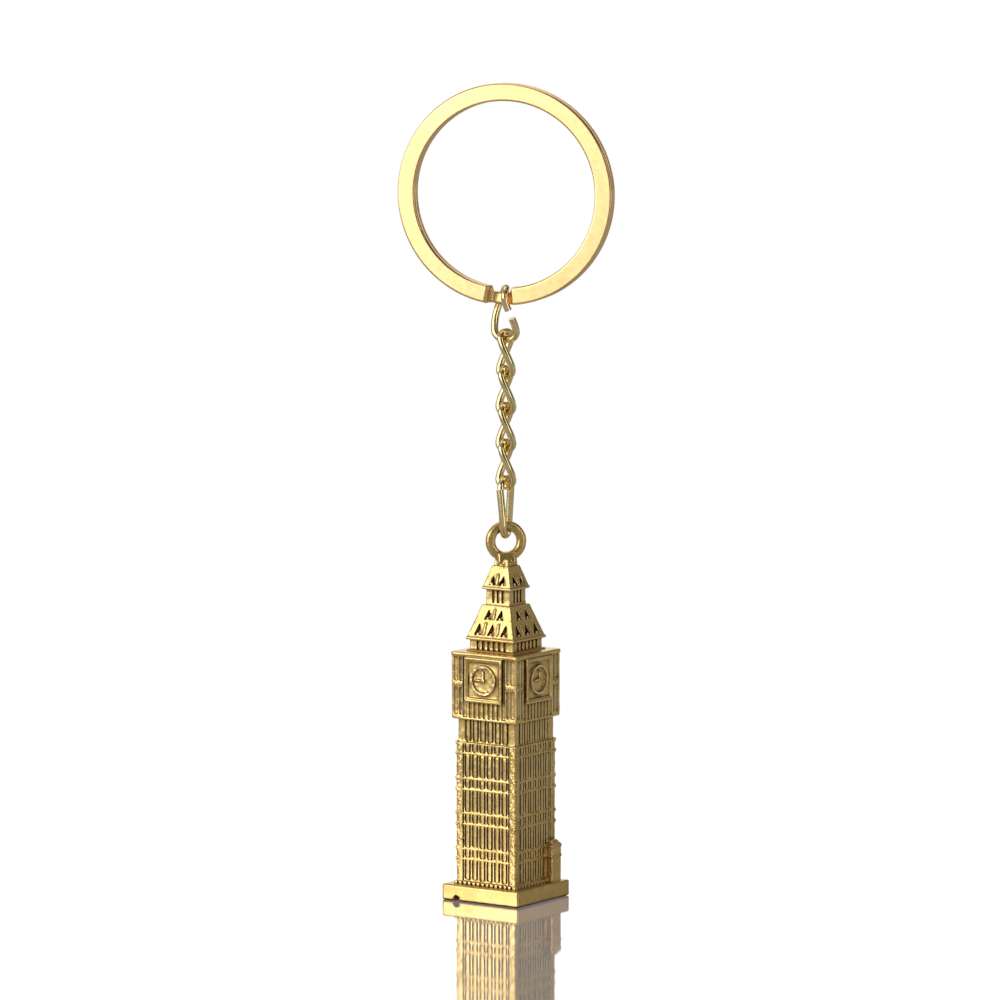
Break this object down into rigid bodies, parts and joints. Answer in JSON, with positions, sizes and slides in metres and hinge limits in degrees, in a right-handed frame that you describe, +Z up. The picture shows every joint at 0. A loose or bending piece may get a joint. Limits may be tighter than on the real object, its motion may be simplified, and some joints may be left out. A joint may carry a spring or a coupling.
{
  "type": "clock tower keychain",
  "caption": "Keychain with a small cast clock-tower charm on a short twisted-link chain and a two-turn split ring.",
  "frame": {"origin": "centre of the underside of the tower's plinth", "axes": "+Z up the tower to the chain and ring, X and Y square to the plinth's sides, +X the side with the small annex"},
  "size_m": [0.0288, 0.0126, 0.1113],
  "materials": {
    "ring_plate": "satin gold plate on spring steel",
    "chain_plate": "bright gold plate on steel wire",
    "cast_plate": "satin gold plate on a zinc casting"
  },
  "bodies": {
    "split_ring": {"split_ring": "ring_plate"},
    "end_link": {"end_link": "chain_plate"},
    "chain_link_1": {"chain_link_1": "chain_plate"},
    "chain_link_2": {"chain_link_2": "chain_plate"},
    "chain_link_3": {"chain_link_3": "chain_plate"},
    "chain_link_4": {"chain_link_4": "chain_plate"},
    "jump_ring": {"jump_ring": "chain_plate"},
    "tower_casting": {"tower_casting": "cast_plate"}
  },
  "joints": [
    {"name": "end_link_swing", "type": "hinge", "parent": "split_ring", "child": "end_link", "pos_m": [0, 0, 0.0822], "axis": [0.9455, 0.3256, 0], "range_deg": [-20, 8]},
    {"name": "link_1_swing", "type": "hinge", "parent": "end_link", "child": "chain_link_1", "pos_m": [0, 0, 0.0766], "axis": [0.9863, 0.165, 0], "range_deg": [-30, 30]},
    {"name": "link_2_swing", "type": "hinge", "parent": "chain_link_1", "child": "chain_link_2", "pos_m": [0, 0, 0.07265], "axis": [0, -1, 0], "range_deg": [-20, 20]},
    {"name": "link_3_swing", "type": "hinge", "parent": "chain_link_2", "child": "chain_link_3", "pos_m": [0, 0, 0.0666], "axis": [1, 0, 0], "range_deg": [-30, 30]},
    {"name": "link_4_swing", "type": "hinge", "parent": "chain_link_3", "child": "chain_link_4", "pos_m": [0, 0, 0.06265], "axis": [0, -1, 0], "range_deg": [-30, 30]},
    {"name": "jump_ring_swing", "type": "hinge", "parent": "chain_link_4", "child": "jump_ring", "pos_m": [0, 0, 0.0566], "axis": [1, 0, 0], "range_deg": [-30, 30]},
    {"name": "tower_swing", "type": "hinge", "parent": "jump_ring", "child": "tower_casting", "pos_m": [0, 0, 0.04995], "axis": [0.7071, -0.7071, 0], "range_deg": [-30, 30]}
  ]
}
